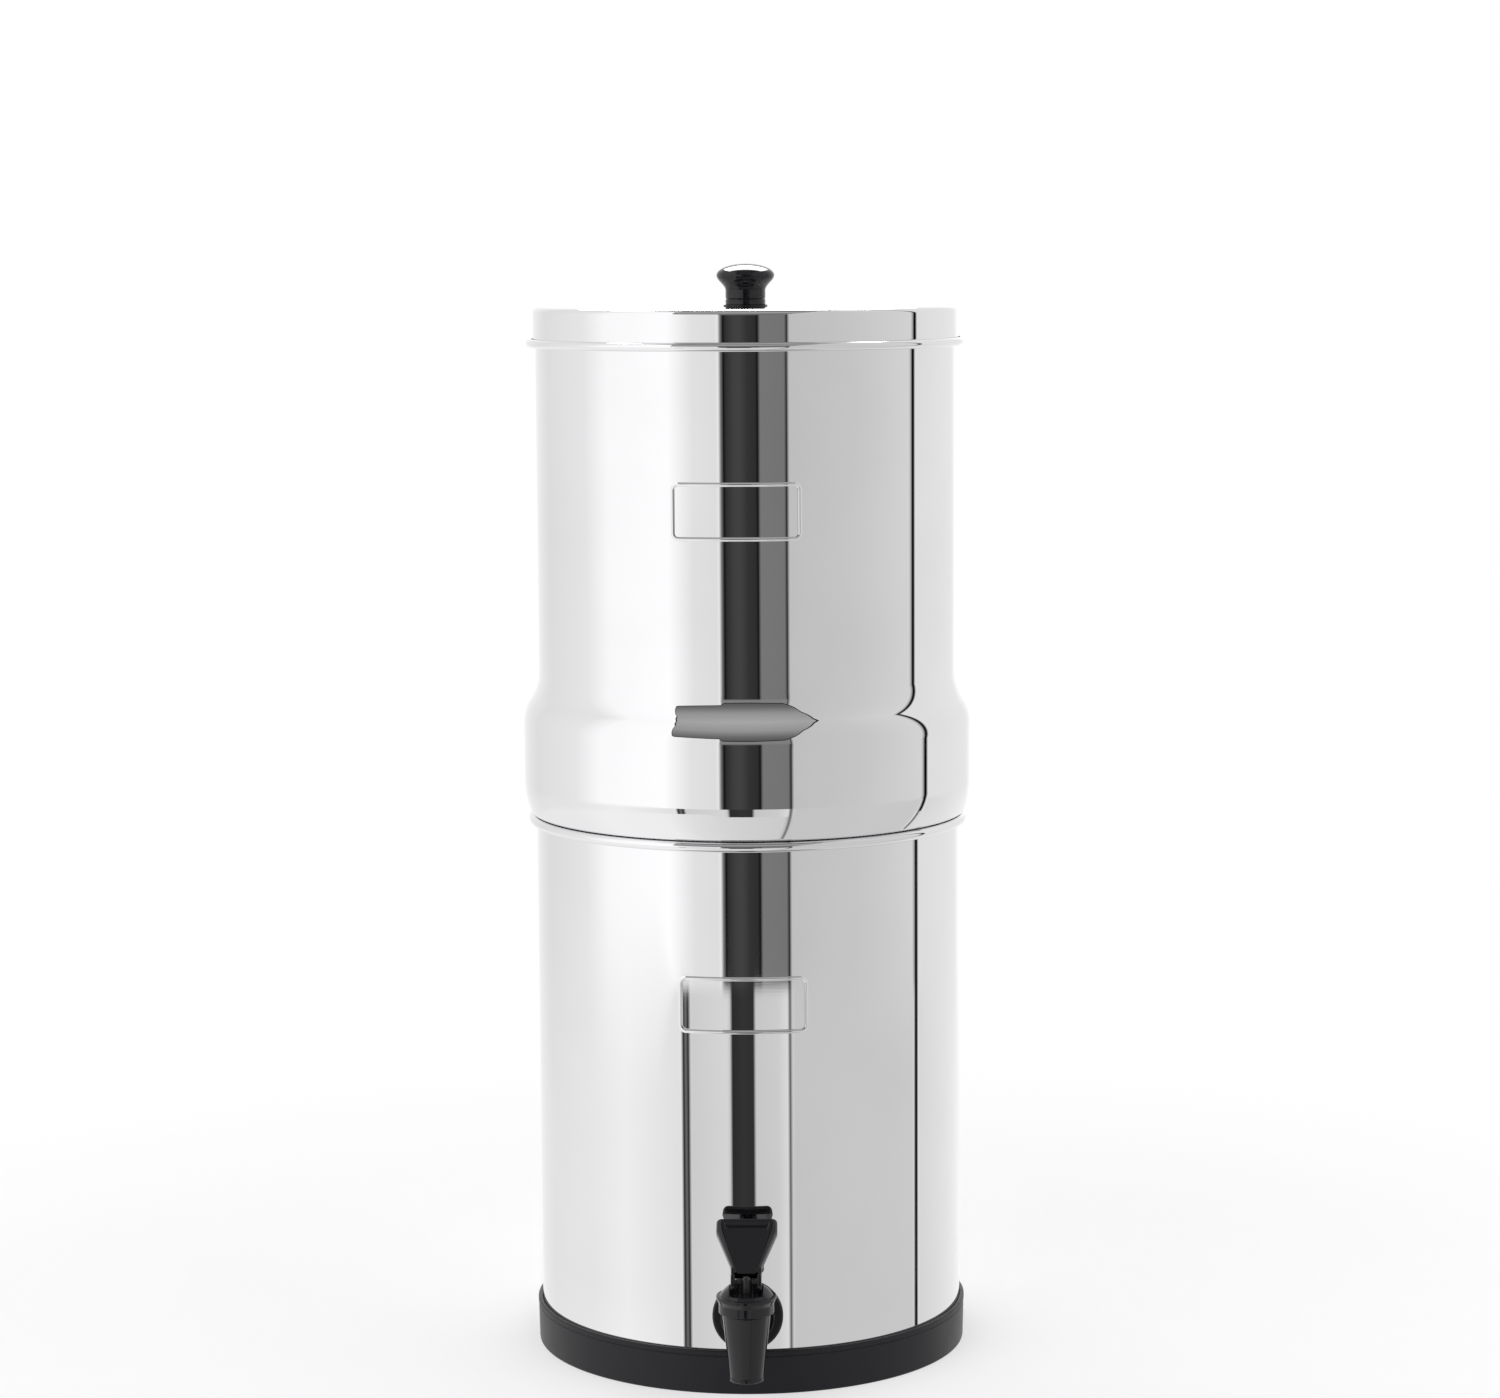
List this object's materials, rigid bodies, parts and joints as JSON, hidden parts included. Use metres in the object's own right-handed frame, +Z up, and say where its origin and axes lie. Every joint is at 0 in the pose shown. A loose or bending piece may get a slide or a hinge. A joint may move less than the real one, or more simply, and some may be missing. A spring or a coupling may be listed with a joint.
{
  "type": "gravity water filter",
  "caption": "Countertop gravity water filter: a filter chamber nested in a steel storage chamber, with a lift-off lid, a rubber base ring and a lever tap.",
  "frame": {"origin": "on the chambers' vertical axis, in the plane that the base ring rests on", "axes": "+Z up along the chambers' axis, -Y towards the tap and the user, +X to the right seen from the tap's side"},
  "size_m": [0.2413, 0.2903, 0.584],
  "materials": {
    "polished_steel": "mirror-polished stainless steel",
    "base_rubber": "satin black rubber",
    "washer_rubber": "smooth black rubber",
    "gloss_black": "glossy moulded black plastic",
    "black_nylon": "smooth black nylon",
    "seat_silicone": "pale food-grade silicone",
    "small_steel": "plain stainless steel",
    "carbon_core": "pressed carbon, matt and fine-grained",
    "filter_plastic": "moulded black plastic",
    "red_silicone": "matt silicone",
    "white_nylon": "moulded white nylon",
    "insert_brass": "turned brass"
  },
  "bodies": {
    "lower_unit": {"base_ring": "base_rubber", "lower_chamber": "polished_steel", "tap_outer_washer": "washer_rubber", "tap_inner_washer": "washer_rubber", "tap_nut": "black_nylon", "tap_body": "gloss_black", "tap_bonnet": "gloss_black", "tap_spring": "small_steel"},
    "tap_valve": {"tap_stem": "black_nylon", "tap_seat_cup": "seat_silicone"},
    "tap_handle": {"tap_lever": "gloss_black", "tap_pin": "black_nylon"},
    "upper_unit": {"upper_chamber": "polished_steel", "filter_core_left": "carbon_core", "filter_core_right": "carbon_core", "filter_cap_left": "filter_plastic", "filter_cap_right": "filter_plastic", "filter_base_left": "filter_plastic", "filter_base_right": "filter_plastic", "stem_washers": "red_silicone", "wing_nuts": "white_nylon", "hole_plugs": "white_nylon"},
    "lid_unit": {"lid": "polished_steel", "lid_knob": "gloss_black", "knob_insert": "insert_brass", "knob_screw": "small_steel", "knob_lock_washer": "small_steel", "knob_washer": "washer_rubber"}
  },
  "joints": [
    {"name": "upper_chamber_lift", "type": "slide", "parent": "lower_unit", "child": "upper_unit", "axis": [0, 0, 1], "range_m": [0, 0.12]},
    {"name": "lid_lift", "type": "slide", "parent": "upper_unit", "child": "lid_unit", "axis": [0, 0, 1], "range_m": [0, 0.1]},
    {"name": "tap_stem_lift", "type": "slide", "parent": "lower_unit", "child": "tap_valve", "axis": [0, 0, 1], "range_m": [0, 0.00245], "deforming": ["tap_spring"]},
    {"name": "tap_lever_pull", "type": "hinge", "parent": "tap_valve", "child": "tap_handle", "pos_m": [0, -0.1543, 0.0706], "axis": [1, 0, 0], "range_deg": [0, 50], "stiffness_Nm_per_rad": 0.02, "springref_deg": -17.19}
  ],
  "couplings": [
    {"joint": "tap_stem_lift", "follows": "tap_lever_pull", "m_per_rad": 0.0028}
  ]
}
